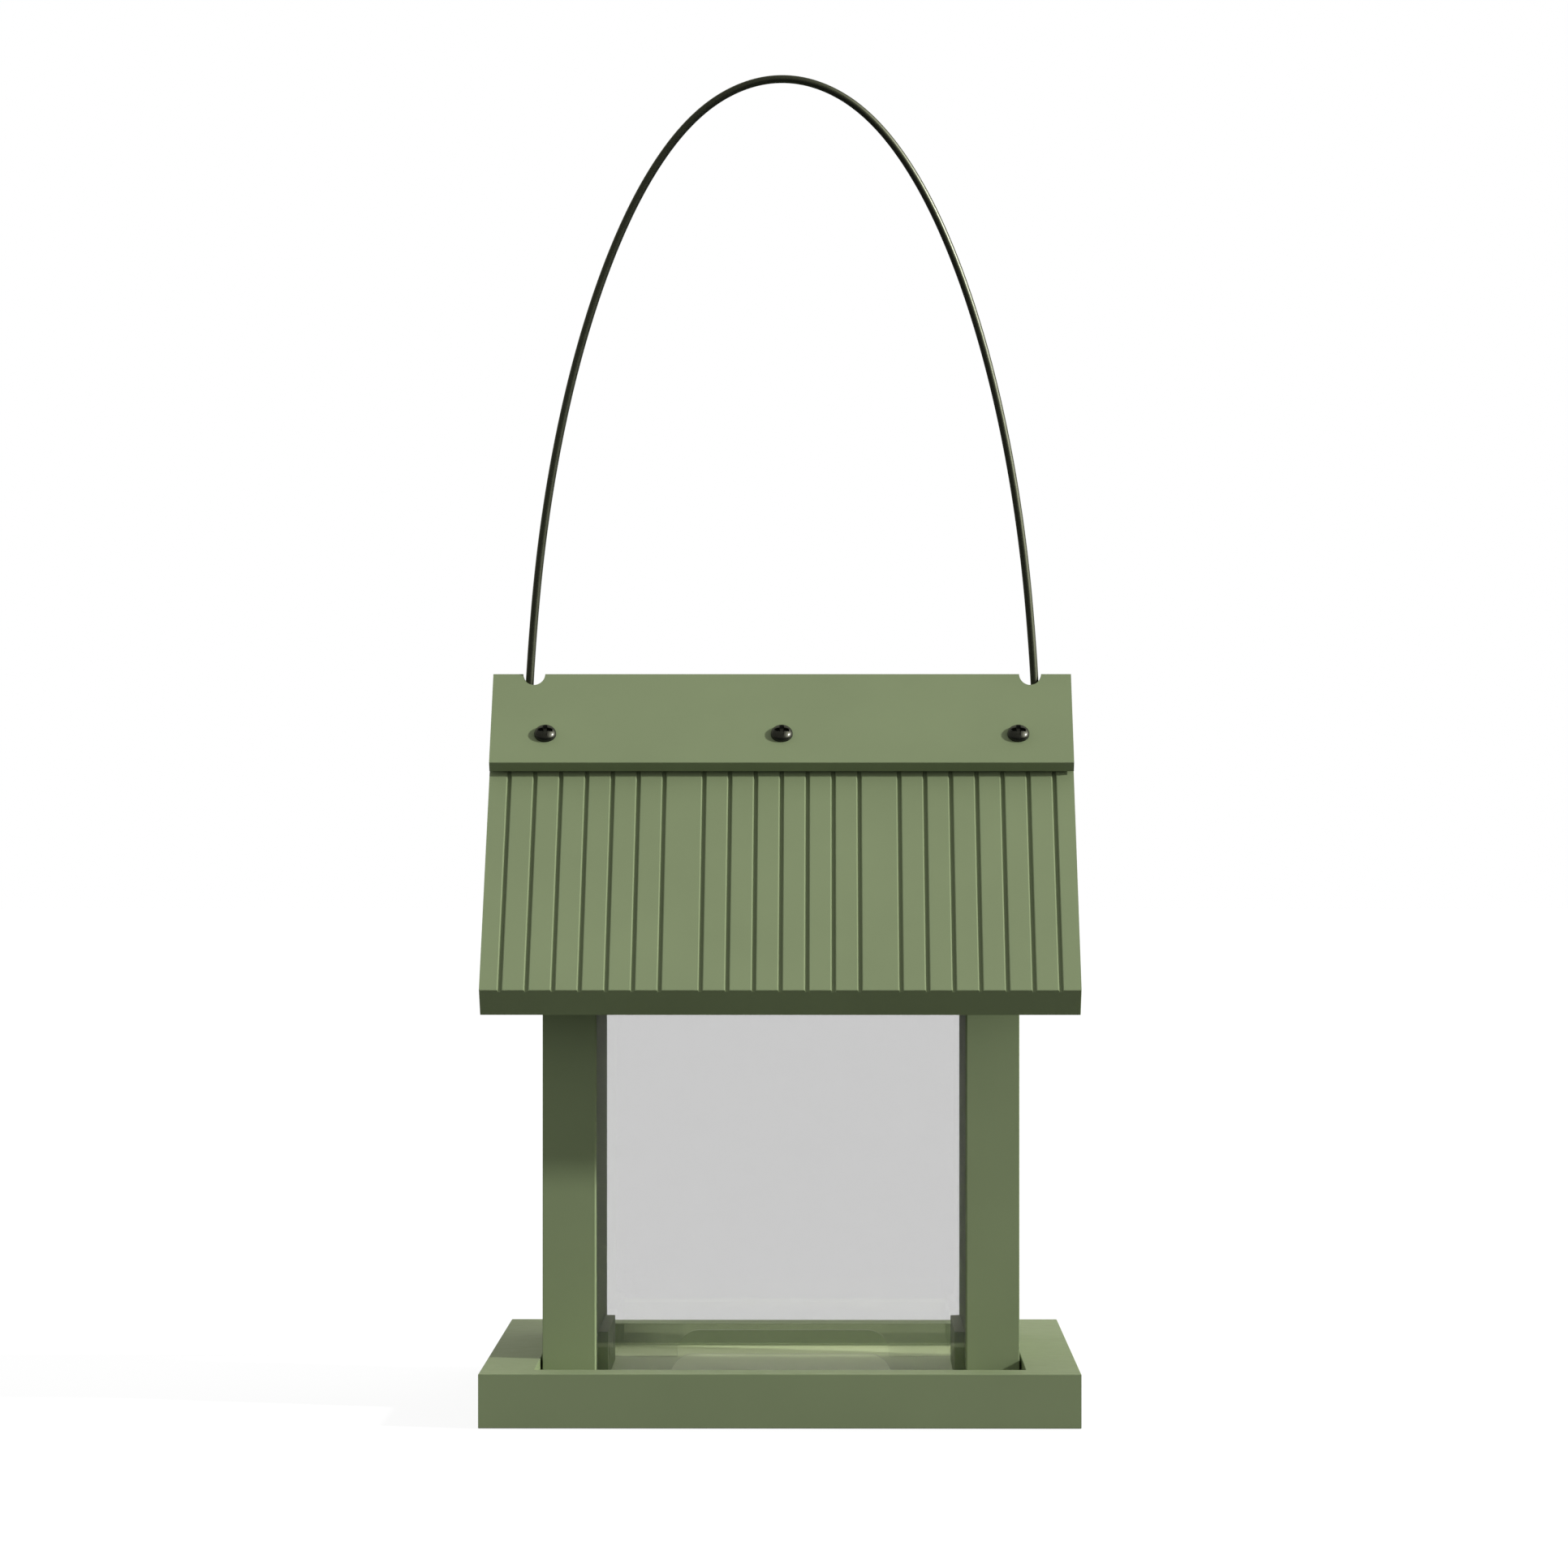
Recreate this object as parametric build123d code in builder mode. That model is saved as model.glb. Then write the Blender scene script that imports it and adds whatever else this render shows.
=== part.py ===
from build123d import *

import os
from math import cos, pi, radians, sin, tan

# Hopper bird feeder in thick plastic boards: a mitred tray, two gable end panels, two clear windows
# with seed outlets, and a grooved pitched roof that lifts along a stiff cable hanger.
# Millimetres, +Z up, origin at the middle of the tray's underside, front towards -Y.

os.makedirs("parts", exist_ok=True)

# Tray frame
tray_width = 211.7
tray_depth = 257.8
rail_width = 19.05
rail_height = 19.05
edge_bevel = 0.2

# Tray floor, held by its edges in grooves of the rails
floor_top = 10.5
floor_thick = 6.0
floor_tongue = 5.0
floor_play = 0.15

# End panels, standing on the floor just inside the side rails
panel_thick = 19.4
panel_depth = 123.6
panel_gap = 0.8
panel_inner_bevel = 0.6

# Cleats along the foot of the end panels
cleat_thick = 3.65
cleat_length = 83.0
cleat_height = 16.8
cleat_screw_spread = 56.0

# Windows and the seed outlets in their lower edges
window_thick = 3.0
window_setback = 2.4
window_slot_depth = 4.5
window_play = 0.2
window_headroom = 1.0
outlet_width = 80.0
outlet_height = 10.0
outlet_radius = 8.2

# Roof boards: ridge_height is where the two upper faces meet, eave_run is measured level
roof_pitch = 45.0
roof_length = 213.6
roof_thick = 13.0
ridge_height = 258.7
eave_run = 105.55
roof_seat_gap = 0.1

# Grooves that run down each roof board, in equal groups along the ridge
groove_groups = 3
grooves_per_group = 7
groove_pitch = 9.44
groove_width = 1.35
groove_depth = 0.95
groove_shoulder = 0.48

# Ridge cap, with a shallow rebate under its lower edges
cap_thick = 6.0
cap_run = 32.9
cap_rebate_height = 1.5
cap_rebate_depth = 4.0
cap_screw_spread = 86.7
cap_screw_drop = 31.9
cap_screw_bite = 10.0

# Screws: domed ones in the cap, and flush ones in the tray's corners, its floor and the cleats
screw_head_radius = 4.05
screw_head_rim = 0.7
screw_head_height = 3.3
screw_head_crown = 2.0
screw_shank_radius = 1.95
screw_play = 0.05
screw_point = 3.0
recess_length = 5.6
recess_width = 1.4
recess_depth = 1.8
panel_screw_spread = 80.0
panel_screw_bite = 20.0
corner_screw_length = 32.0
cleat_head_radius = 3.1
cleat_shank_radius = 1.6
cleat_screw_bite = 9.0

# Cable hanger: its right half from the crimped end up to the middle of the arch, as (x, z)
cable_radius = 1.5
hanger_half = [
    (57.8, 204.5),
    (68.5, 204.45),
    (79.0, 204.5),
    (88.5, 205.0),
    (93.6, 212.0),
    (94.0, 230.0),
    (93.8, 262.8),
    (89.1, 318.4),
    (79.9, 369.7),
    (66.9, 414.4),
    (50.8, 450.3),
    (32.0, 475.2),
    (10.9, 487.3),
]
run_share = 0.45
roof_hole_radius = 4.05
roof_hole_spread = 183.3
anchor_hole_radius = 2.2
anchor_hole_height = 204.75
ferrule_radius = 3.2
ferrule_length = 8.0
ferrule_height = 204.48
ferrule_play = 0.15
ferrule_bevel = 0.6

# Places that follow from the sizes above
slope_cos = cos(radians(roof_pitch))
slope_sin = sin(radians(roof_pitch))
slope_rise = tan(radians(roof_pitch))
panel_outer = tray_width / 2 - rail_width - panel_gap
panel_inner = panel_outer - panel_thick
panel_middle = panel_outer - panel_thick / 2
cleat_face = panel_inner - cleat_thick
roof_under = ridge_height - roof_thick / slope_cos
gable_top = roof_under - roof_seat_gap / slope_cos
cap_ridge = ridge_height + cap_thick / slope_cos
window_middle = panel_depth / 2 - window_setback - window_thick / 2
window_outer = window_middle + window_thick / 2
window_top = roof_under - window_outer * slope_rise - window_headroom
cap_screw_length = cap_thick + cap_screw_bite
panel_screw_length = floor_thick + panel_screw_bite
cleat_screw_length = cleat_thick + cleat_screw_bite
sides = {"left": -1, "right": 1}
ends = {"front": -1, "back": 1}
top_down = (Align.CENTER, Align.CENTER, Align.MAX)
bottom_up = (Align.CENTER, Align.CENTER, Align.MIN)


def keep(part, label):
    """Labels a finished piece and writes it as its own node."""
    part.label = label
    export_step(part, f"parts/{label}.step")


panel_screw_seats = {}
corner_screw_seats = {}
cleat_screw_seats = {}
cap_screw_seats = {}
for side_name, side in sides.items():
    for end_name, end in ends.items():
        panel_screw_seats[f"{side_name}_panel_screw_{end_name}"] = Plane(
            origin=(side * panel_middle, end * panel_screw_spread / 2, floor_top - floor_thick),
            x_dir=(1, 0, 0),
            z_dir=(0, 0, -1),
        )
        corner_screw_seats[f"{side_name}_corner_screw_{end_name}"] = Plane(
            origin=(side * tray_width / 2, end * (tray_depth - rail_width) / 2, rail_height / 2),
            x_dir=(0, 1, 0),
            z_dir=(side, 0, 0),
        )
        cleat_screw_seats[f"{side_name}_cleat_screw_{end_name}"] = Plane(
            origin=(side * cleat_face, end * cleat_screw_spread / 2, floor_top + cleat_height / 2),
            x_dir=(0, 1, 0),
            z_dir=(-side, 0, 0),
        )
for end_name, end in ends.items():
    for place, step in (("left", -1), ("middle", 0), ("right", 1)):
        cap_screw_seats[f"cap_screw_{end_name}_{place}"] = Plane(
            origin=(
                step * cap_screw_spread,
                end * cap_screw_drop * slope_cos,
                cap_ridge - cap_screw_drop * slope_sin,
            ),
            x_dir=(1, 0, 0),
            z_dir=(0, end * slope_sin, slope_cos),
        )


def drill(seats, shank, depth):
    """Holes of one depth for screw shanks, square to the screws' seats, in the piece in hand."""
    with Locations(*seats.values()):
        Cylinder(shank + screw_play, depth, align=top_down, mode=Mode.SUBTRACT)


def countersink(seats, shank, head):
    """Flared mouths for flush screw heads, in the piece in hand."""
    with Locations(*seats.values()):
        Cone(shank + screw_play, head + screw_play, head - shank, align=top_down, mode=Mode.SUBTRACT)


def tray_rail(label, along, length, reach):
    """A mitred rail with the floor's groove in its inner face; reach is from the tray's middle outwards."""
    base = Plane(origin=(0, 0, 0), x_dir=along, z_dir=(0, 0, 1))
    inner = reach - rail_width
    tip = length / 2 - rail_width
    slot = floor_tongue + floor_play
    with BuildPart() as rail:
        with BuildSketch(base):
            with BuildLine():
                Polyline(
                    (-length / 2, -reach),
                    (length / 2, -reach),
                    (tip, -inner),
                    (-tip, -inner),
                    close=True,
                )
            make_face()
        extrude(amount=rail_height)
        chamfer(rail.edges().filter_by(Axis((0, 0, 0), along)), edge_bevel)
        with BuildSketch(base.offset(floor_top - floor_thick - floor_play)):
            with BuildLine():
                Polyline(
                    (-tip - slot, -inner - slot),
                    (tip + slot, -inner - slot),
                    (tip, -inner),
                    (-tip, -inner),
                    close=True,
                )
            make_face()
        extrude(amount=floor_thick + 2 * floor_play, mode=Mode.SUBTRACT)
        drill(corner_screw_seats, screw_shank_radius, corner_screw_length)
        countersink(corner_screw_seats, screw_shank_radius, screw_head_radius)
    keep(rail.part, label)


tray_rail("tray_front_rail", (1, 0, 0), tray_width, tray_depth / 2)
tray_rail("tray_back_rail", (-1, 0, 0), tray_width, tray_depth / 2)
tray_rail("tray_right_rail", (0, 1, 0), tray_depth, tray_width / 2)
tray_rail("tray_left_rail", (0, -1, 0), tray_depth, tray_width / 2)

with BuildPart() as tray_floor:
    with BuildSketch(Plane.XY.offset(floor_top - floor_thick)):
        Rectangle(
            tray_width - 2 * (rail_width - floor_tongue),
            tray_depth - 2 * (rail_width - floor_tongue),
        )
    extrude(amount=floor_thick)
    drill(panel_screw_seats, screw_shank_radius, panel_screw_length)
    countersink(panel_screw_seats, screw_shank_radius, screw_head_radius)
keep(tray_floor.part, "tray_floor")


def end_panel(label, side):
    """A gable end with two window slots in its inner face and the cable's hole near its peak."""
    foot = panel_depth / 2
    shoulder = gable_top - foot * slope_rise
    slot_middle = side * (panel_inner + window_slot_depth / 2)
    with BuildPart() as panel:
        with BuildSketch(Plane.YZ.offset(side * panel_middle)):
            with BuildLine():
                Polyline(
                    (-foot, floor_top),
                    (foot, floor_top),
                    (foot, shoulder),
                    (0, gable_top),
                    (-foot, shoulder),
                    close=True,
                )
            make_face()
        extrude(amount=panel_thick / 2, both=True)
        outwards = Axis((0, 0, 0), (side, 0, 0))
        chamfer(panel.edges().filter_by(Axis.Z).sort_by(outwards)[:2], panel_inner_bevel)
        chamfer(panel.edges().filter_by(Axis.Z).sort_by(outwards)[-2:], edge_bevel)
        with BuildSketch(Plane.XY.offset(floor_top)):
            with Locations((slot_middle, -window_middle), (slot_middle, window_middle)):
                Rectangle(window_slot_depth, window_thick + 2 * window_play)
        extrude(amount=gable_top - floor_top, mode=Mode.SUBTRACT)
        with BuildSketch(Plane.YZ):
            with Locations((0, anchor_hole_height)):
                Circle(anchor_hole_radius)
        extrude(amount=side * panel_outer, mode=Mode.SUBTRACT)
        drill(panel_screw_seats, screw_shank_radius, panel_screw_length)
        drill(cleat_screw_seats, cleat_shank_radius, cleat_screw_length)
    keep(panel.part, label)


def cleat(label, side):
    """A strip along the foot of an end panel, with countersunk screw holes."""
    with BuildPart() as strip:
        with BuildSketch(Plane.XY.offset(floor_top)):
            with Locations((side * (panel_inner - cleat_thick / 2), 0)):
                Rectangle(cleat_thick, cleat_length)
        extrude(amount=cleat_height)
        inner_edges = strip.faces().sort_by(Axis.X)[0 if side > 0 else -1].edges()
        chamfer(inner_edges.filter_by(Axis.Z) + inner_edges.sort_by(Axis.Z)[-1:], edge_bevel)
        drill(cleat_screw_seats, cleat_shank_radius, cleat_thick)
        countersink(cleat_screw_seats, cleat_shank_radius, cleat_head_radius)
    keep(strip.part, label)


def ferrule(label, side):
    """The crimped sleeve that stops the cable's end against the panel's inner face."""
    seat = Plane(origin=(side * panel_inner, 0, ferrule_height), x_dir=(0, 1, 0), z_dir=(-side, 0, 0))
    with BuildPart(seat) as sleeve:
        Cylinder(ferrule_radius, ferrule_length, align=bottom_up)
        chamfer(sleeve.edges().sort_by(Axis.X)[0 if side > 0 else -1], ferrule_bevel)
        Cylinder(cable_radius + ferrule_play, ferrule_length, align=bottom_up, mode=Mode.SUBTRACT)
    keep(sleeve.part, label)


for side_name, side in sides.items():
    end_panel(f"{side_name}_end_panel", side)
    cleat(f"{side_name}_cleat", side)
    ferrule(f"{side_name}_ferrule", side)


def window(label, end):
    """A clear pane that stands on the floor in the panels' slots, with a round-topped outlet at its foot."""
    width = 2 * (panel_inner + window_slot_depth - window_play)
    with BuildPart() as pane:
        with BuildSketch(Plane.XZ.offset(-end * window_middle)):
            with Locations((0, (floor_top + window_top) / 2)):
                Rectangle(width, window_top - floor_top)
            with Locations((0, floor_top)):
                RectangleRounded(outlet_width, 2 * outlet_height, outlet_radius, mode=Mode.SUBTRACT)
        extrude(amount=window_thick / 2, both=True)
    keep(pane.part, label)


def hanger_holes():
    """The two upright holes that the cable passes through at the ridge."""
    half_spread = roof_hole_spread / 2
    with Locations((-half_spread, 0, cap_ridge), (half_spread, 0, cap_ridge)):
        Cylinder(roof_hole_radius, 2 * (cap_ridge - roof_under), align=top_down, mode=Mode.SUBTRACT)


def roof_board(label, end):
    """A grooved roof board, mitred upright at the ridge and cut square at the eave."""
    eave_height = ridge_height - eave_run * slope_rise
    down_slope = Plane(
        origin=(0, 0, ridge_height), x_dir=(-end, 0, 0), z_dir=(0, end * slope_cos, -slope_sin)
    )
    shoulder_middle = groove_width / 2 + groove_shoulder
    with BuildPart() as board:
        with BuildSketch(Plane.YZ):
            with BuildLine():
                Polyline(
                    (0, ridge_height),
                    (end * eave_run, eave_height),
                    (end * (eave_run - roof_thick * slope_sin), eave_height - roof_thick * slope_cos),
                    (0, roof_under),
                    close=True,
                )
            make_face()
        extrude(amount=roof_length / 2, both=True)
        eave = board.faces().sort_by(Axis.Z)[0]
        chamfer(eave.edges(), edge_bevel)
        with BuildSketch(down_slope):
            with GridLocations(roof_length / groove_groups, 1, groove_groups, 1):
                with GridLocations(groove_pitch, 1, grooves_per_group, 1):
                    Rectangle(2 * shoulder_middle, 2 * groove_shoulder)
                    with Locations((-shoulder_middle, -groove_shoulder), (shoulder_middle, -groove_shoulder)):
                        Circle(groove_shoulder, mode=Mode.SUBTRACT)
                    Rectangle(groove_width, 2 * groove_depth)
        extrude(amount=eave_run / slope_cos, mode=Mode.SUBTRACT)
        hanger_holes()
        drill(cap_screw_seats, screw_shank_radius, cap_screw_length)
    keep(board.part, label)


for end_name, end in ends.items():
    window(f"{end_name}_window", end)
    roof_board(f"{end_name}_roof_board", end)

with BuildPart() as ridge_cap:
    inwards = Vector(-slope_sin, -slope_cos)
    up_slope = Vector(-slope_cos, slope_sin)
    edge_top = Vector(cap_run, cap_ridge - cap_run * slope_rise)
    edge_foot = edge_top + inwards * (cap_thick - cap_rebate_height)
    rebate_end = edge_foot + up_slope * cap_rebate_depth
    half_profile = [edge_top, edge_foot, rebate_end, rebate_end + inwards * cap_rebate_height]
    other_half = [Vector(-point.X, point.Y) for point in reversed(half_profile)]
    with BuildSketch(Plane.YZ):
        with BuildLine():
            Polyline((0, cap_ridge), *half_profile, (0, ridge_height), *other_half, close=True)
        make_face()
    extrude(amount=roof_length / 2, both=True)
    along_ridge = ridge_cap.edges().filter_by(Axis.X)
    chamfer(along_ridge.sort_by(Axis.Y)[:1] + along_ridge.sort_by(Axis.Y)[-1:], edge_bevel)
    hanger_holes()
    drill(cap_screw_seats, screw_shank_radius, cap_thick)
keep(ridge_cap.part, "ridge_cap")


def pan_screw(label, seat, length):
    """A domed cross-recess screw, its head seated on the plane and its point inwards."""
    half = Plane(origin=seat.origin, x_dir=seat.x_dir, z_dir=-seat.y_dir)
    with BuildPart() as screw:
        with BuildSketch(half):
            with BuildLine():
                Polyline(
                    (screw_head_crown, screw_head_height),
                    (0, screw_head_height),
                    (0, -length),
                    (screw_shank_radius, screw_point - length),
                    (screw_shank_radius, 0),
                    (screw_head_radius, 0),
                    (screw_head_radius, screw_head_rim),
                )
                TangentArc(
                    (screw_head_radius, screw_head_rim),
                    (screw_head_crown, screw_head_height),
                    tangent=(0, 1),
                )
            make_face()
        revolve(axis=Axis(seat.origin, seat.z_dir))
        with BuildSketch(seat.offset(screw_head_height)):
            Rectangle(recess_length, recess_width)
            Rectangle(recess_width, recess_length)
        extrude(amount=-recess_depth, mode=Mode.SUBTRACT)
    keep(screw.part, label)


def flush_screw(label, seat, length, shank, head):
    """A countersunk screw, its head flush with the plane."""
    with BuildPart(seat) as screw:
        Cylinder(shank, length, align=top_down)
        Cone(shank, head, head - shank, align=top_down)
        with BuildSketch(seat):
            Rectangle(head, recess_width)
            Rectangle(recess_width, head)
        extrude(amount=shank - head, mode=Mode.SUBTRACT)
    keep(screw.part, label)


for label, seat in cap_screw_seats.items():
    pan_screw(label, seat, cap_screw_length - screw_play)
for label, seat in panel_screw_seats.items():
    flush_screw(label, seat, panel_screw_length - screw_play, screw_shank_radius, screw_head_radius)
for label, seat in corner_screw_seats.items():
    flush_screw(label, seat, corner_screw_length - screw_play, screw_shank_radius, screw_head_radius)
for label, seat in cleat_screw_seats.items():
    flush_screw(label, seat, cleat_screw_length - screw_play, cleat_shank_radius, cleat_head_radius)

# Cable hanger: straight runs joined by arcs as large as the runs allow
route = [Vector(x, 0, z) for x, z in hanger_half]
route += [Vector(-p.X, 0, p.Z) for p in reversed(route)]
bends = []
for before, corner, after in zip(route, route[1:], route[2:]):
    run_in = corner - before
    run_out = after - corner
    half_turn = radians(run_in.get_angle(run_out)) / 2
    bends.append(run_share * min(run_in.length, run_out.length) / tan(half_turn))
with BuildPart() as hanger_cable:
    with BuildLine():
        cable_path = FilletPolyline(*route, radius=bends)
    with BuildSketch(Plane(origin=cable_path @ 0, z_dir=cable_path % 0)):
        Circle(cable_radius)
    sweep(path=cable_path)
keep(hanger_cable.part, "hanger_cable")
plain_volume = pi * cable_radius**2 * cable_path.length
print("cable bend radii:", [round(bend, 1) for bend in bends])
print("cable length:", round(cable_path.length, 1))
print("cable volume over section times length:", round(hanger_cable.part.volume / plain_volume, 4))
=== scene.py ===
import math

import bmesh
import bpy
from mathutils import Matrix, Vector


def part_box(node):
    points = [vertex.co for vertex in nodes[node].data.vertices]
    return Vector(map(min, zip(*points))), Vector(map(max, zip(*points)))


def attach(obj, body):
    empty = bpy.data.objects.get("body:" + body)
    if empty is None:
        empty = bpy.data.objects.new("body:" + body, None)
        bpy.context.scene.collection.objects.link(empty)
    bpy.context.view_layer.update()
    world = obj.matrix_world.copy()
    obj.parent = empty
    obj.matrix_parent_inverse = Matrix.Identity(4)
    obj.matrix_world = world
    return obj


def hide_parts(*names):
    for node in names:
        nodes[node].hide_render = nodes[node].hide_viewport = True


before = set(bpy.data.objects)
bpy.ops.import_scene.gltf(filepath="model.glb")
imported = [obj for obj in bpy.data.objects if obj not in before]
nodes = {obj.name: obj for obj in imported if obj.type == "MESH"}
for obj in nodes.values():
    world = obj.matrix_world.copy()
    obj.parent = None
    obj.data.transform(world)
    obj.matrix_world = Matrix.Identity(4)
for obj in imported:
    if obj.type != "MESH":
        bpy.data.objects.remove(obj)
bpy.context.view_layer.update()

# Sides and ends of the feeder, as its pieces are named
SIDES = ("left", "right")
ENDS = ("front", "back")

# The cap's screws: where they sit on its slopes and the size of a pan head, in metres
RIDGE_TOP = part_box("ridge_cap")[1][2]
ROOF_PITCH = math.radians(45)
SCREWS_IN_ROW = 3
SCREW_SPACING = 0.0867
SCREW_DROP = 0.0319
HEAD_RADIUS = 0.00405
HEAD_RIM = 0.0005
HEAD_HEIGHT = 0.0028
HEAD_RINGS = 14
HEAD_FACETS = 40
HEAD_SHARP_FROM = math.radians(38)

# A head's cross recess: each arm's half length and half width, at the recess's mouth and at its foot
RECESS_DEPTH = 0.0016
RECESS_MOUTH = (0.92 * HEAD_RADIUS, 0.25 * HEAD_RADIUS)
RECESS_FOOT = (0.46 * HEAD_RADIUS, 0.14 * HEAD_RADIUS)
CUTTER_OVERHANG = 0.0005

# The cable's route from part.py, right half, as (x, z) in metres
CABLE_HALF = [
    (0.0578, 0.2045),
    (0.0685, 0.20445),
    (0.0790, 0.2045),
    (0.0885, 0.2050),
    (0.0936, 0.2120),
    (0.0940, 0.2300),
    (0.0938, 0.2628),
    (0.0891, 0.3184),
    (0.0799, 0.3697),
    (0.0669, 0.4144),
    (0.0508, 0.4503),
    (0.0320, 0.4752),
    (0.0109, 0.4873),
]
CABLE_RADIUS = 0.0015
CABLE_ROUNDNESS = 6
CABLE_STEPS = 12

# Unevenness of the finishes: (scale, detail, depth) of the tone, (scale, depth) of the sheen
BOARD_CLOUDS = (22, 4, 0.035)
BOARD_PATCHES = (160, 0.04)
COAT_CLOUDS = (300, 3, 0.15)
COAT_PATCHES = (500, 0.05)
FINE_DETAIL = 2
GRAIN_HEIGHT = 0.0001

# Boards: a low shine, and the (scale, strength) of their pebbled grain
BOARD_SHINE = 0.25
BOARD_GRAIN = (1400, 0.10)

# Windows: how much they bend light, and the share of Y in a normal from a sawn edge to a clear face
PANE_INDEX = 2.1
PANE_EDGE_ROUGHNESS = 0.5
PANE_EDGE_TO_FACE = (0.6, 0.8)

# The photo's camera: millimetres for the lens and sensor, metres for its reach and place
CAMERA_LENS = 156.638
CAMERA_SENSOR = 36
CAMERA_REACH = 100
CAMERA_PLACE = (0.016478, -2.52266, 0.21805)
CAMERA_TILT = math.radians(90.193)
CAMERA_TURN = math.radians(0.3583)

# The key lamp, from the right, a little in front and above
KEY_TOWARDS = (0.85, -0.295, 0.455)
KEY_STRENGTH = 3.95
KEY_SPREAD = math.radians(3)

# What is seen straight or through a pane: a white backdrop and a floor that is nearly as white
BACKDROP_WHITE = 1.0
FLOOR_GLOW = 0.88
FLOOR_PALE = 0.12

# What shows in gloss: a dim studio, brighter behind, above and in a soft glow round the key lamp
STUDIO_FRONT = 0.30
GLOSS_BACK = 0.245
GLOSS_BACK_REACH = (0.1, 0.8)
GLOSS_ABOVE = 0.05
GLOSS_ABOVE_REACH = (0.3, 0.9)
GLOSS_TINT = (1.0, 1.0, 0.76)
KEY_GLOW = 7.0
KEY_GLOW_REACH = (0.55, 1.0)
KEY_GLOW_FALL = 3.0
FLOOR_GLOSS = 0.06

# Soft fill on matte faces: from in front, little from above, more from around the back, and off a grey floor
FILL_FRONT = 0.87
FILL_ABOVE = 0.03
FILL_AROUND = 1.95
FILL_AROUND_REACH = (-0.4, 0.3)
FILL_FALL = 0.45
FLOOR_TONE = 0.18

# The key lamp can't shine through a pane, so the studio's light is stronger where it has passed one
PANE_FILL = 3.75
PANE_GLOSS = 3.2

# The studio's floor, in metres: half its width, and its place just under the tray
FLOOR_HALF = 12
FLOOR_LEVEL = -0.0002

# A count of bounces under this is none, and one over it is at least one
UNDER_ONE = 0.5


def add_object(name, data):
    """A new object in the scene."""
    made = bpy.data.objects.new(name, data)
    bpy.context.collection.objects.link(made)
    return made


def apply_modifiers(made):
    """Leaves an object with the plain mesh that its modifiers make."""
    graph = bpy.context.evaluated_depsgraph_get()
    plain = bpy.data.meshes.new_from_object(made.evaluated_get(graph))
    made.modifiers.clear()
    made.data = plain


def new_material(name):
    """An empty node material with its output, ready for a shader."""
    material = bpy.data.materials.new(name)
    material.use_nodes = True
    tree = material.node_tree
    tree.nodes.clear()
    return material, tree, tree.nodes.new("ShaderNodeOutputMaterial")


def math_node(tree, operation, first, second=0.0):
    """Arithmetic on two sockets, or on sockets and numbers."""
    node = tree.nodes.new("ShaderNodeMath")
    node.operation = operation
    for socket, value in zip(node.inputs, (first, second)):
        if isinstance(value, (int, float)):
            socket.default_value = value
        else:
            tree.links.new(value, socket)
    return node.outputs[0]


def mix_shaders(tree, share, first, second):
    """One shader that gives way to another as the share goes from 0 to 1."""
    node = tree.nodes.new("ShaderNodeMixShader")
    for socket, value in zip(node.inputs, (share, first, second)):
        tree.links.new(value, socket)
    return node.outputs[0]


def object_noise(tree, scale, detail):
    """Noise laid over the piece in its own coordinates."""
    coords = tree.nodes.new("ShaderNodeTexCoord")
    noise = tree.nodes.new("ShaderNodeTexNoise")
    noise.inputs["Scale"].default_value = scale
    noise.inputs["Detail"].default_value = detail
    tree.links.new(coords.outputs["Object"], noise.inputs["Vector"])
    return noise.outputs["Fac"]


def ramp(tree, source, dark, light, reach=(0.3, 0.7)):
    """Two tones spread over a stretch of a value."""
    node = tree.nodes.new("ShaderNodeValToRGB")
    for stop, position, tone in zip(node.color_ramp.elements, reach, (dark, light)):
        stop.position = position
        stop.color = (*tone, 1)
    tree.links.new(source, node.inputs["Fac"])
    return node.outputs["Color"]


def spread(tree, source, low, high, reach=(0.0, 1.0)):
    """A value that goes from low to high over a stretch of another."""
    node = tree.nodes.new("ShaderNodeMapRange")
    node.inputs["From Min"].default_value = reach[0]
    node.inputs["From Max"].default_value = reach[1]
    node.inputs["To Min"].default_value = low
    node.inputs["To Max"].default_value = high
    tree.links.new(source, node.inputs["Value"])
    return node.outputs["Result"]


def uneven_surface(tree, shader, tone, roughness, clouds, patches, grain):
    """Faint clouds in the tone, patches of more and less sheen, and a fine raised grain."""
    scale, detail, depth = clouds
    dark = [c * (1 - depth) for c in tone]
    light = [c * (1 + depth) for c in tone]
    clouded = ramp(tree, object_noise(tree, scale, detail), dark, light)
    tree.links.new(clouded, shader.inputs["Base Color"])
    scale, depth = patches
    sheen = spread(tree, object_noise(tree, scale, FINE_DETAIL), roughness - depth, roughness + depth)
    tree.links.new(sheen, shader.inputs["Roughness"])
    scale, strength = grain
    bump = tree.nodes.new("ShaderNodeBump")
    bump.inputs["Strength"].default_value = strength
    bump.inputs["Distance"].default_value = GRAIN_HEIGHT
    tree.links.new(object_noise(tree, scale, FINE_DETAIL), bump.inputs["Height"])
    tree.links.new(bump.outputs["Normal"], shader.inputs["Normal"])


def board_material(name, tone, roughness):
    """Solid-coloured plastic board: faint clouding, a fine pebbled grain and an uneven matte sheen."""
    material, tree, output = new_material(name)
    shader = tree.nodes.new("ShaderNodeBsdfPrincipled")
    shader.inputs["Specular IOR Level"].default_value = BOARD_SHINE
    uneven_surface(tree, shader, tone, roughness, BOARD_CLOUDS, BOARD_PATCHES, BOARD_GRAIN)
    tree.links.new(shader.outputs["BSDF"], output.inputs["Surface"])
    return material


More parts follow.
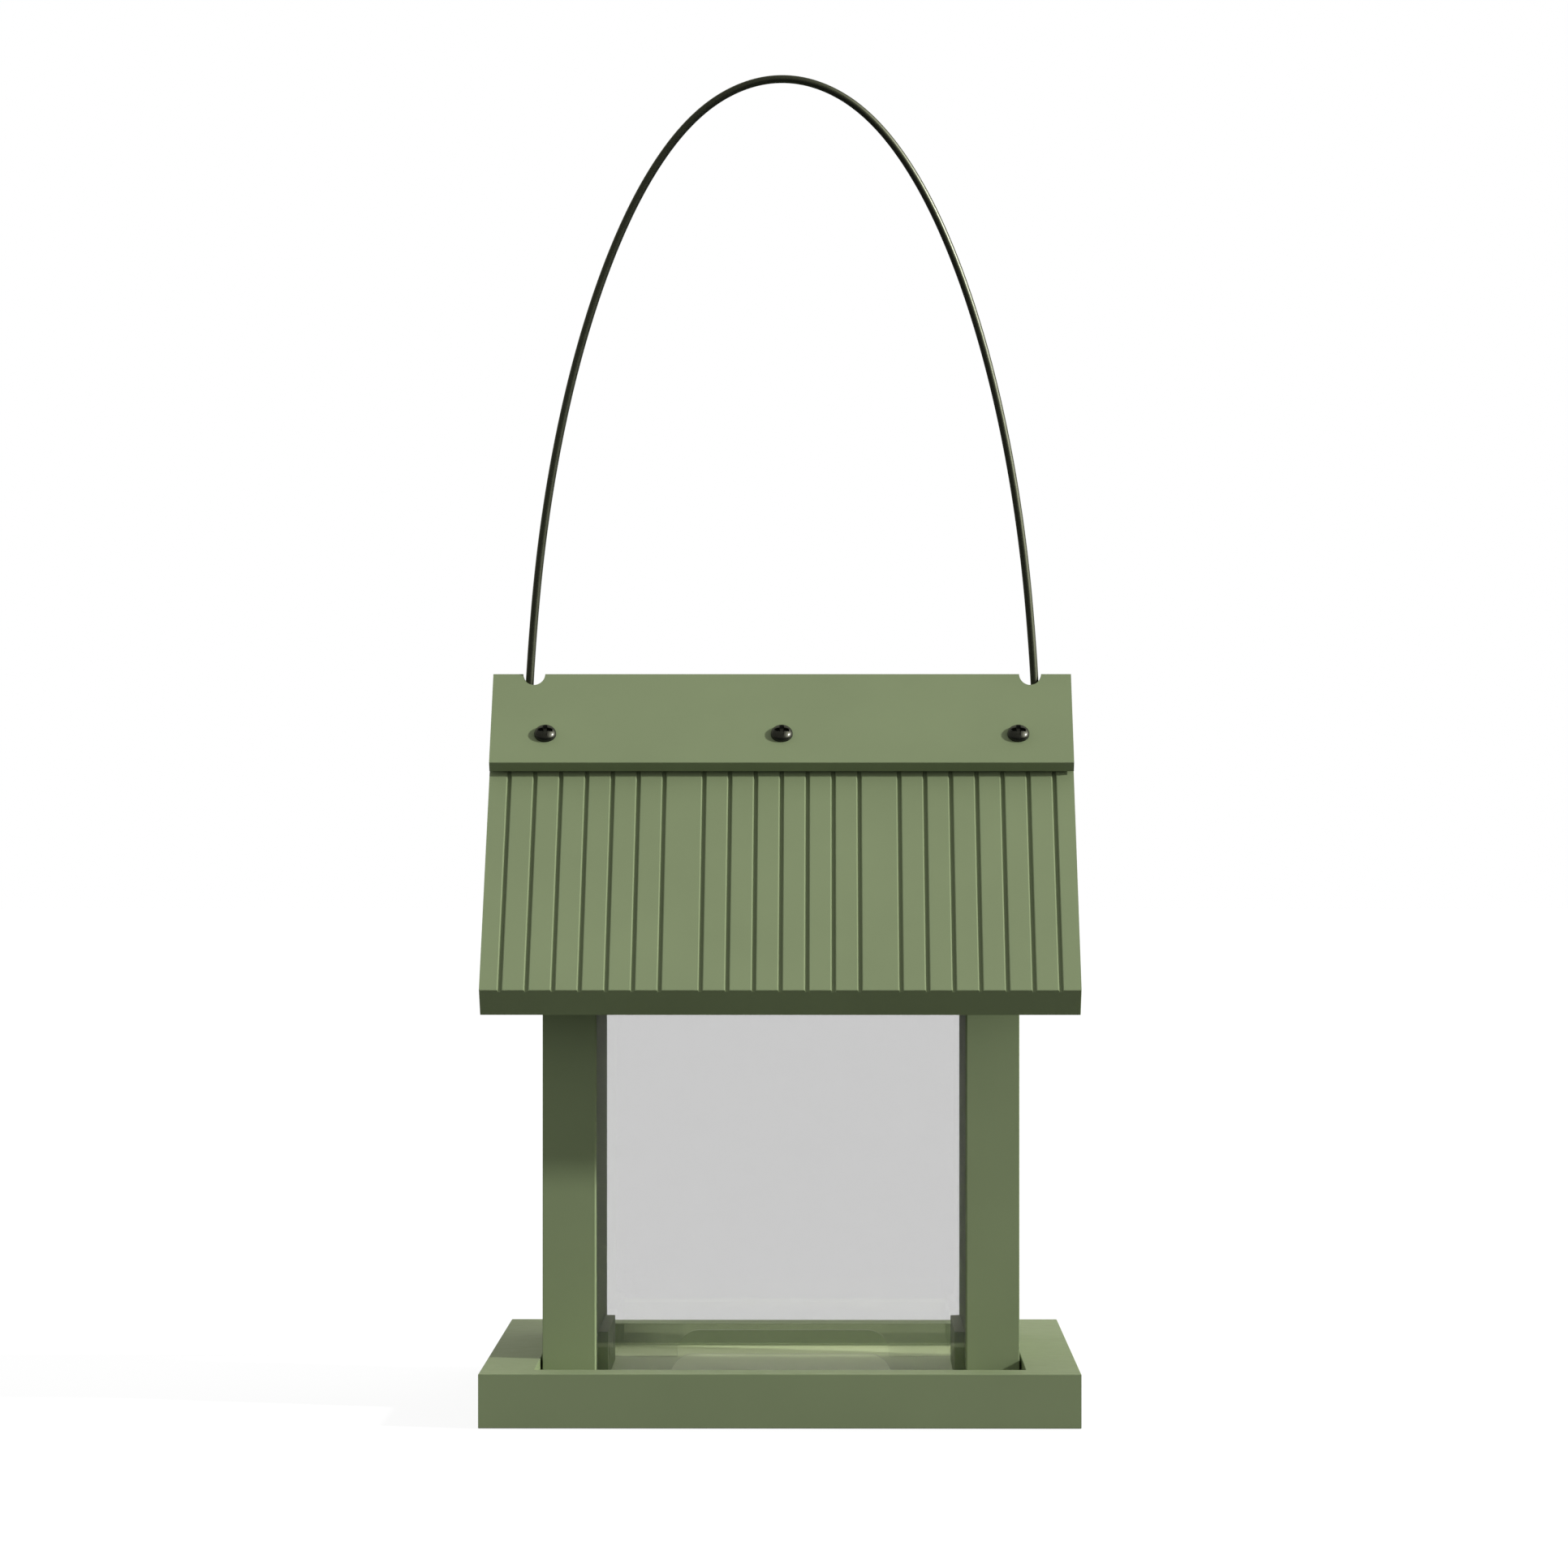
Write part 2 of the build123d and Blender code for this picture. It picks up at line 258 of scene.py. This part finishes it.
def coated_material(name, tone, roughness, shine=0.5, shine_tint=(1, 1, 1), metallic=0.0, grain=(900, 0.05)):
    """A smooth coat or metal with a slight orange peel and an uneven gloss."""
    material, tree, output = new_material(name)
    shader = tree.nodes.new("ShaderNodeBsdfPrincipled")
    shader.inputs["Metallic"].default_value = metallic
    shader.inputs["Specular IOR Level"].default_value = shine
    shader.inputs["Specular Tint"].default_value = (*shine_tint, 1)
    uneven_surface(tree, shader, tone, roughness, COAT_CLOUDS, COAT_PATCHES, grain)
    tree.links.new(shader.outputs["BSDF"], output.inputs["Surface"])
    return material


def pane_material(name, tint, painted_edge_shade):
    """Clear acrylic sheet: bright faces, and sawn matte edges darkened with painted shade."""
    material, tree, output = new_material(name)
    shader = tree.nodes.new("ShaderNodeBsdfPrincipled")
    shader.inputs["Transmission Weight"].default_value = 1
    shader.inputs["IOR"].default_value = PANE_INDEX
    coords = tree.nodes.new("ShaderNodeTexCoord")
    parts = tree.nodes.new("ShaderNodeSeparateXYZ")
    tree.links.new(coords.outputs["Normal"], parts.inputs[0])
    face = math_node(tree, "ABSOLUTE", parts.outputs["Y"])
    # The sawn edges get a dark painted shade, the faces a clear grey tint.
    tree.links.new(ramp(tree, face, painted_edge_shade, tint, PANE_EDGE_TO_FACE), shader.inputs["Base Color"])
    tree.links.new(spread(tree, face, PANE_EDGE_ROUGHNESS, 0.0), shader.inputs["Roughness"])
    tree.links.new(shader.outputs["BSDF"], output.inputs["Surface"])
    return material


def seen_rays(tree):
    """Shares of rays that show a thing to the eye: straight or through a pane, and in gloss."""
    path = tree.nodes.new("ShaderNodeLightPath")
    straight = math_node(tree, "MAXIMUM", path.outputs["Is Camera Ray"], path.outputs["Is Transmission Ray"])
    not_fill = math_node(tree, "LESS_THAN", path.outputs["Diffuse Depth"], UNDER_ONE)
    mirrored = math_node(tree, "GREATER_THAN", path.outputs["Glossy Depth"], UNDER_ONE)
    direct = math_node(tree, "SUBTRACT", 1.0, mirrored)
    plain = math_node(tree, "MULTIPLY", math_node(tree, "MULTIPLY", straight, direct), not_fill)
    gloss = math_node(tree, "MULTIPLY", mirrored, not_fill)
    return plain, gloss


def floor_material(name):
    """A pale studio floor that fades into the white behind it and keeps a faint shadow."""
    material, tree, output = new_material(name)

    def matte(tone):
        """A plain grey that takes light and shadow."""
        node = tree.nodes.new("ShaderNodeBsdfDiffuse")
        node.inputs["Color"].default_value = (tone, tone, tone, 1)
        return node.outputs[0]

    def glowing(strength):
        """White light of the floor's own."""
        node = tree.nodes.new("ShaderNodeEmission")
        node.inputs["Strength"].default_value = strength
        return node.outputs[0]

    seen = tree.nodes.new("ShaderNodeAddShader")
    tree.links.new(matte(FLOOR_PALE), seen.inputs[0])
    tree.links.new(glowing(FLOOR_GLOW), seen.inputs[1])
    plain, gloss = seen_rays(tree)
    indirect = mix_shaders(tree, gloss, matte(FLOOR_TONE), glowing(FLOOR_GLOSS))
    shown = mix_shaders(tree, plain, indirect, seen.outputs[0])
    tree.links.new(shown, output.inputs["Surface"])
    return material


# Finishes
board_green = board_material("board_green", tone=(0.168, 0.209, 0.109), roughness=0.52)
# roof_green is board_green's tone made a few percent darker: painted shade that dims the lit roof slopes. It
# is also rougher.
roof_green = board_material("roof_green", tone=(0.163, 0.202, 0.106), roughness=0.64)
floor_pale = board_material("floor_pale", tone=(0.450, 0.515, 0.290), roughness=0.52)
# The panes' edges are darkened with painted shade.
clear_pane = pane_material("clear_pane", tint=(0.948, 0.948, 0.948), painted_edge_shade=(0.12, 0.135, 0.10))
black_coat = coated_material("black_coat", tone=(0.006, 0.0065, 0.005), roughness=0.21)
# The jacket's shine is tinted olive: a painted reflection tint for the greenish light its highlight picks
# up.
black_jacket = coated_material(
    "black_jacket",
    tone=(0.008, 0.009, 0.006),
    roughness=0.34,
    shine=0.6,
    shine_tint=(0.95, 1.0, 0.80),
)
bare_aluminium = coated_material(
    "bare_aluminium",
    tone=(0.62, 0.62, 0.62),
    roughness=0.38,
    metallic=1.0,
    grain=(500, 0.2),
)


def finish_node(name, material):
    """Gives a CAD node its finish."""
    mesh = nodes[name].data
    mesh.materials.clear()
    mesh.materials.append(material)


for side in SIDES:
    finish_node(f"{side}_end_panel", board_green)
    finish_node(f"{side}_cleat", board_green)
    finish_node(f"{side}_ferrule", bare_aluminium)
    for end in ENDS:
        for kind in ("panel", "corner", "cleat"):
            finish_node(f"{side}_{kind}_screw_{end}", black_coat)
for place in ENDS + SIDES:
    finish_node(f"tray_{place}_rail", board_green)
for end in ENDS:
    finish_node(f"{end}_roof_board", roof_green)
    finish_node(f"{end}_window", clear_pane)
finish_node("ridge_cap", roof_green)
finish_node("tray_floor", floor_pale)


def cable_curve():
    """The hanger cable as one smooth line that the route's points control."""
    points = CABLE_HALF + [(-x, z) for x, z in reversed(CABLE_HALF)]
    curve = bpy.data.curves.new("hanger_cable", "CURVE")
    curve.dimensions = "3D"
    curve.bevel_depth = CABLE_RADIUS
    curve.bevel_resolution = CABLE_ROUNDNESS
    curve.resolution_u = CABLE_STEPS
    curve.use_fill_caps = True
    spline = curve.splines.new("NURBS")
    spline.points.add(len(points) - 1)
    for point, (x, z) in zip(spline.points, points):
        point.co = (x, 0, z, 1)
    spline.order_u = 3
    spline.use_endpoint_u = True
    spline.use_smooth = True
    curve.materials.append(black_jacket)
    return add_object("hanger_cable_line", curve)


cable = cable_curve()
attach(cable, "base")
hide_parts("hanger_cable")


def pan_head():
    """A screw's domed head, lathed about Z with its seat at Z = 0."""
    profile = [(HEAD_RADIUS, 0.0)]
    for i in range(HEAD_RINGS):
        angle = math.pi / 2 * i / HEAD_RINGS
        height = HEAD_RIM + (HEAD_HEIGHT - HEAD_RIM) * math.sin(angle)
        profile.append((HEAD_RADIUS * math.cos(angle), height))
    turns = [2 * math.pi * k / HEAD_FACETS for k in range(HEAD_FACETS)]
    shape = bmesh.new()
    loops = [
        [shape.verts.new((radius * math.cos(turn), radius * math.sin(turn), height)) for turn in turns]
        for radius, height in profile
    ]
    for low, high in zip(loops, loops[1:]):
        for k in range(HEAD_FACETS):
            following = (k + 1) % HEAD_FACETS
            shape.faces.new((low[k], low[following], high[following], high[k]))
    top = shape.verts.new((0, 0, HEAD_HEIGHT))
    for k in range(HEAD_FACETS):
        shape.faces.new((loops[-1][k], loops[-1][(k + 1) % HEAD_FACETS], top))
    shape.faces.new(list(reversed(loops[0])))
    mesh = bpy.data.meshes.new("screw_head")
    shape.to_mesh(mesh)
    shape.free()
    return add_object("screw_head", mesh)


def cross_cutter():
    """Two crossed bars that narrow downwards, the shape of a head's recess."""
    shape = bmesh.new()
    for crossed in (False, True):
        for vert in bmesh.ops.create_cube(shape, size=1)["verts"]:
            deep = vert.co.z < 0
            length, width = RECESS_FOOT if deep else RECESS_MOUTH
            x = math.copysign(length, vert.co.x)
            y = math.copysign(width, vert.co.y)
            z = HEAD_HEIGHT - RECESS_DEPTH if deep else HEAD_HEIGHT + CUTTER_OVERHANG
            vert.co = (-y, x, z) if crossed else (x, y, z)
    mesh = bpy.data.meshes.new("cross_cutter")
    shape.to_mesh(mesh)
    shape.free()
    return add_object("cross_cutter", mesh)


def screw_head():
    """A pan head with its cross recess cut."""
    head = pan_head()
    cross = cross_cutter()
    cut = head.modifiers.new("recess", "BOOLEAN")
    cut.operation = "DIFFERENCE"
    cut.object = cross
    cut.use_self = True
    apply_modifiers(head)
    bpy.data.objects.remove(cross)
    return head


def screw_row_tree():
    """Screws in a row along both slopes of the cap, as a node tree with its sizes as inputs."""
    tree = bpy.data.node_groups.new("cap_screw_rows", "GeometryNodeTree")
    inputs = {
        "Geometry": "NodeSocketGeometry",
        "Head": "NodeSocketObject",
        "Count": "NodeSocketInt",
        "Spacing": "NodeSocketFloat",
        "Seat": "NodeSocketVector",
        "Pitch": "NodeSocketFloat",
        "Finish": "NodeSocketMaterial",
    }
    for name, kind in inputs.items():
        tree.interface.new_socket(name, in_out="INPUT", socket_type=kind)
    tree.interface.new_socket("Geometry", in_out="OUTPUT", socket_type="NodeSocketGeometry")
    add = tree.nodes.new
    link = tree.links.new
    given = add("NodeGroupInput")
    result = add("NodeGroupOutput")
    step = add("ShaderNodeCombineXYZ")
    link(given.outputs["Spacing"], step.inputs["X"])
    line = add("GeometryNodeMeshLine")
    line.mode = "OFFSET"
    link(given.outputs["Count"], line.inputs["Count"])
    link(given.outputs["Seat"], line.inputs["Start Location"])
    link(step.outputs["Vector"], line.inputs["Offset"])
    tilt = add("ShaderNodeCombineXYZ")
    link(given.outputs["Pitch"], tilt.inputs["X"])
    head = add("GeometryNodeObjectInfo")
    link(given.outputs["Head"], head.inputs["Object"])
    row = add("GeometryNodeInstanceOnPoints")
    link(line.outputs["Mesh"], row.inputs["Points"])
    link(head.outputs["Geometry"], row.inputs["Instance"])
    link(tilt.outputs["Vector"], row.inputs["Rotation"])
    turned = add("GeometryNodeTransform")
    turned.inputs["Rotation"].default_value = (0, 0, math.pi)
    link(row.outputs["Instances"], turned.inputs["Geometry"])
    both = add("GeometryNodeJoinGeometry")
    link(row.outputs["Instances"], both.inputs["Geometry"])
    link(turned.outputs["Geometry"], both.inputs["Geometry"])
    real = add("GeometryNodeRealizeInstances")
    link(both.outputs["Geometry"], real.inputs["Geometry"])
    coat = add("GeometryNodeSetMaterial")
    link(real.outputs["Geometry"], coat.inputs["Geometry"])
    link(given.outputs["Finish"], coat.inputs["Material"])
    link(coat.outputs["Geometry"], result.inputs["Geometry"])
    return tree


def cap_screws():
    """All the cap's screws as one plain mesh."""
    head = screw_head()
    tree = screw_row_tree()
    rows = add_object("cap_screws", bpy.data.meshes.new("cap_screws"))
    maker = rows.modifiers.new("rows", "NODES")
    maker.node_group = tree
    values = {
        "Head": head,
        "Count": SCREWS_IN_ROW,
        "Spacing": SCREW_SPACING,
        "Seat": (
            -SCREW_SPACING * (SCREWS_IN_ROW - 1) / 2,
            -SCREW_DROP * math.cos(ROOF_PITCH),
            RIDGE_TOP - SCREW_DROP * math.sin(ROOF_PITCH),
        ),
        "Pitch": ROOF_PITCH,
        "Finish": black_coat,
    }
    for socket in tree.interface.items_tree:
        if socket.in_out == "INPUT" and socket.name in values:
            maker[socket.identifier] = values[socket.name]
    apply_modifiers(rows)
    for polygon in rows.data.polygons:
        polygon.use_smooth = True
    rows.data.set_sharp_from_angle(angle=HEAD_SHARP_FROM)
    bpy.data.objects.remove(head)
    return rows


screws = cap_screws()
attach(screws, "roof")
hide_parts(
    *[f"cap_screw_{end}_{place}" for end in ENDS for place in ("left", "middle", "right")],
)


def photo_camera():
    """The camera at the photo's place."""
    lens = bpy.data.cameras.new("camera")
    lens.lens = CAMERA_LENS
    lens.sensor_width = CAMERA_SENSOR
    lens.clip_end = CAMERA_REACH
    camera = add_object("camera", lens)
    camera.location = CAMERA_PLACE
    camera.rotation_euler = (CAMERA_TILT, 0, CAMERA_TURN)
    bpy.context.scene.camera = camera


def key_lamp():
    """The lamp that gives the feeder its lit and shaded sides."""
    sun = bpy.data.lights.new("key", "SUN")
    sun.energy = KEY_STRENGTH
    sun.angle = KEY_SPREAD
    x, y, z = KEY_TOWARDS
    lamp = add_object("key", sun)
    lamp.rotation_euler = (math.atan2(math.hypot(x, y), z), 0, math.atan2(y, x) + math.pi / 2)


def through_panes(tree, light, gain):
    """Light that is stronger where it comes through a pane."""
    path = tree.nodes.new("ShaderNodeLightPath")
    more = math_node(tree, "MULTIPLY", path.outputs["Is Transmission Ray"], gain - 1)
    return math_node(tree, "MULTIPLY", light, math_node(tree, "ADD", more, 1.0))


def fill_light(tree, back, up):
    """How strong the fill is in each direction."""
    front = spread(tree, up, FILL_FRONT, FILL_ABOVE)
    behind = spread(tree, back, 0.0, FILL_AROUND, FILL_AROUND_REACH)
    around = math_node(tree, "MULTIPLY", behind, spread(tree, up, 1.0, FILL_FALL))
    return through_panes(tree, math_node(tree, "ADD", front, around), PANE_FILL)


def gloss_light(tree, back, up, to_key):
    """How bright the studio looks in gloss in each direction."""
    behind = spread(tree, back, 0.0, GLOSS_BACK, GLOSS_BACK_REACH)
    near_key = spread(tree, to_key, 0.0, 1.0, KEY_GLOW_REACH)
    glow = math_node(tree, "MULTIPLY", math_node(tree, "POWER", near_key, KEY_GLOW_FALL), KEY_GLOW)
    above = spread(tree, up, 0.0, GLOSS_ABOVE, GLOSS_ABOVE_REACH)
    total = through_panes(tree, behind, PANE_GLOSS)
    for light in (glow, above, STUDIO_FRONT):
        total = math_node(tree, "ADD", total, light)
    return total


def studio_world():
    """White where it is seen straight or through a pane, a dimmer studio in gloss, and a soft fill."""
    world = bpy.data.worlds.new("studio")
    bpy.context.scene.world = world
    world.use_nodes = True
    tree = world.node_tree
    tree.nodes.clear()
    output = tree.nodes.new("ShaderNodeOutputWorld")
    coords = tree.nodes.new("ShaderNodeTexCoord")
    parts = tree.nodes.new("ShaderNodeSeparateXYZ")
    tree.links.new(coords.outputs["Generated"], parts.inputs[0])
    back = parts.outputs["Y"]
    up = parts.outputs["Z"]
    to_key = tree.nodes.new("ShaderNodeVectorMath")
    to_key.operation = "DOT_PRODUCT"
    to_key.inputs[1].default_value = Vector(KEY_TOWARDS).normalized()
    tree.links.new(coords.outputs["Generated"], to_key.inputs[0])

    def light_of(strength, tint=(1, 1, 1)):
        """Light of a strength that changes with direction."""
        shade = tree.nodes.new("ShaderNodeBackground")
        shade.inputs["Color"].default_value = (*tint, 1)
        tree.links.new(strength, shade.inputs["Strength"])
        return shade.outputs[0]

    white = tree.nodes.new("ShaderNodeBackground")
    white.inputs["Color"].default_value = (1, 1, 1, 1)
    white.inputs["Strength"].default_value = BACKDROP_WHITE
    fill = light_of(fill_light(tree, back, up))
    glossy = light_of(gloss_light(tree, back, up, to_key.outputs["Value"]), GLOSS_TINT)
    plain, gloss = seen_rays(tree)
    indirect = mix_shaders(tree, gloss, fill, glossy)
    shown = mix_shaders(tree, plain, indirect, white.outputs[0])
    tree.links.new(shown, output.inputs["Surface"])


def studio_floor():
    """A wide plain floor under the tray."""
    mesh = bpy.data.meshes.new("studio_floor")
    corners = [(x * FLOOR_HALF, y * FLOOR_HALF, 0) for x, y in ((-1, -1), (1, -1), (1, 1), (-1, 1))]
    mesh.from_pydata(corners, [], [(0, 1, 2, 3)])
    mesh.materials.append(floor_material("studio_floor"))
    floor = add_object("studio_floor", mesh)
    floor.location = (0, 0, FLOOR_LEVEL)
    return floor


photo_camera()
key_lamp()
studio_world()
floor = studio_floor()
bpy.context.scene.view_settings.view_transform = "Standard"
